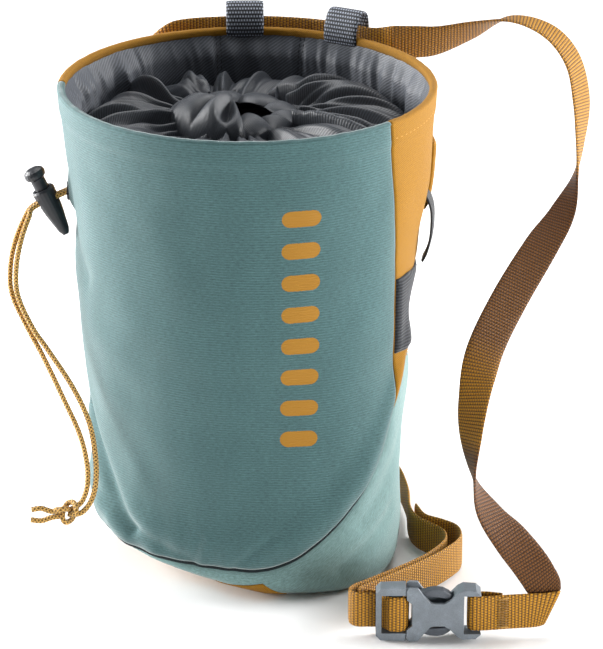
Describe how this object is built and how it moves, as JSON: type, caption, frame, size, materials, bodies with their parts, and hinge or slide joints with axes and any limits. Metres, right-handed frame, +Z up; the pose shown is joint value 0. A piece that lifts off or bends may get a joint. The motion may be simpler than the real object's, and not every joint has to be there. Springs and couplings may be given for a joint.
{
  "type": "climbing chalk bag",
  "caption": "Round fabric chalk bag with a gathered closure, drawcord with cord lock, and a webbing waist belt with a side-release buckle.",
  "frame": {"origin": "middle of the base, on the surface the bag stands on", "axes": "+Z up out of the mouth, -Y out of the front panel, +X towards the bag's own buckle side; belt and drawcord lie loose beside it"},
  "size_m": [0.2402, 0.1932, 0.2128],
  "materials": {
    "teal_fabric": "matte",
    "teal_wrap_fabric": "matte",
    "base_fabric": "matte",
    "teal_binding": "matte",
    "ochre_fabric": "matte",
    "ochre_patch_fabric": "matte",
    "ochre_binding": "matte",
    "graphite_elastic": "matte",
    "brush_loop_elastic": "matte",
    "graphite_webbing": "matte",
    "stiffener": "matte",
    "wall_foam": "matte",
    "lining_twill": "satin",
    "collar_fabric": "satin",
    "casing_fabric": "matte",
    "pouch_fleece": "matte",
    "hoop_plastic": "matte",
    "belt_webbing": "matte",
    "drawcord_braid": "matte",
    "eyelet_metal": "satin",
    "buckle_plastic": "satin",
    "latch_plastic": "satin",
    "cord_lock_plastic": "satin",
    "spring_steel": "bright"
  },
  "bodies": {
    "bag": {"front_panel": "teal_fabric", "lower_panel": "teal_wrap_fabric", "back_panel": "ochre_fabric", "base_panel": "base_fabric", "base_stiffener": "stiffener", "wall_foam": "wall_foam", "rim_hem_front": "teal_binding", "rim_hem_back": "ochre_binding", "rim_hoop": "hoop_plastic", "lining_facing": "lining_twill", "chalk_pouch_front": "pouch_fleece", "chalk_pouch_back": "pouch_fleece", "closure_collar": "collar_fabric", "cord_casing": "casing_fabric", "drawcord_ring": "drawcord_braid", "back_patch": "ochre_patch_fabric", "side_band": "graphite_elastic", "brush_loop": "brush_loop_elastic", "belt_loop_left": "graphite_webbing", "belt_loop_right": "graphite_webbing", "drawcord_eyelet": "eyelet_metal", "waist_belt": "belt_webbing", "belt_arch": "belt_webbing", "belt_tail": "belt_webbing", "buckle_insert": "buckle_plastic", "lower_back_panel": "teal_wrap_fabric", "pouch_floor": "pouch_fleece", "collar_skirt": "collar_fabric"},
    "receiver": {"buckle_receiver": "buckle_plastic", "belt_sewn_end": "belt_webbing"},
    "latch_upper": {"latch_arm_upper": "latch_plastic"},
    "latch_lower": {"latch_arm_lower": "latch_plastic"},
    "cord_lock": {"cord_lock_body": "cord_lock_plastic", "cord_lock_spring": "spring_steel"},
    "lock_plunger": {"cord_lock_plunger": "cord_lock_plastic"},
    "drawcord": {"drawcord_strand_left": "drawcord_braid", "drawcord_strand_right": "drawcord_braid", "cord_knot": "drawcord_braid", "cord_tip_upper": "drawcord_braid", "cord_tip_lower": "drawcord_braid"}
  },
  "joints": [
    {"name": "buckle_release", "type": "slide", "parent": "bag", "child": "receiver", "axis": [0.9336, 0.3584, 0], "range_m": [0, 0.025], "deforming": ["belt_arch"]},
    {"name": "latch_upper_press", "type": "hinge", "parent": "bag", "child": "latch_upper", "pos_m": [0.10095, -0.06793, 0.0196], "axis": [-0.3584, 0.9336, 0], "range_deg": [0, 7], "stiffness_Nm_per_rad": 0.002, "springref_deg": -2.86},
    {"name": "latch_lower_press", "type": "hinge", "parent": "bag", "child": "latch_lower", "pos_m": [0.10095, -0.06793, 0.0036], "axis": [-0.3584, 0.9336, 0], "range_deg": [-7, 0], "stiffness_Nm_per_rad": 0.002, "springref_deg": 2.86},
    {"name": "cord_lock_pull", "type": "slide", "parent": "bag", "child": "cord_lock", "axis": [-0.835, -0.342, -0.431], "range_m": [0, 0.016]},
    {"name": "drawcord_feed", "type": "slide", "parent": "cord_lock", "child": "drawcord", "axis": [-0.835, -0.342, -0.431], "range_m": [0, 0.012]},
    {"name": "cord_lock_press", "type": "slide", "parent": "cord_lock", "child": "lock_plunger", "axis": [0.3989, 0.1634, -0.9023], "range_m": [0, 0.003], "stiffness_N_per_m": 400, "springref_m": -0.003, "deforming": ["cord_lock_spring"]}
  ]
}
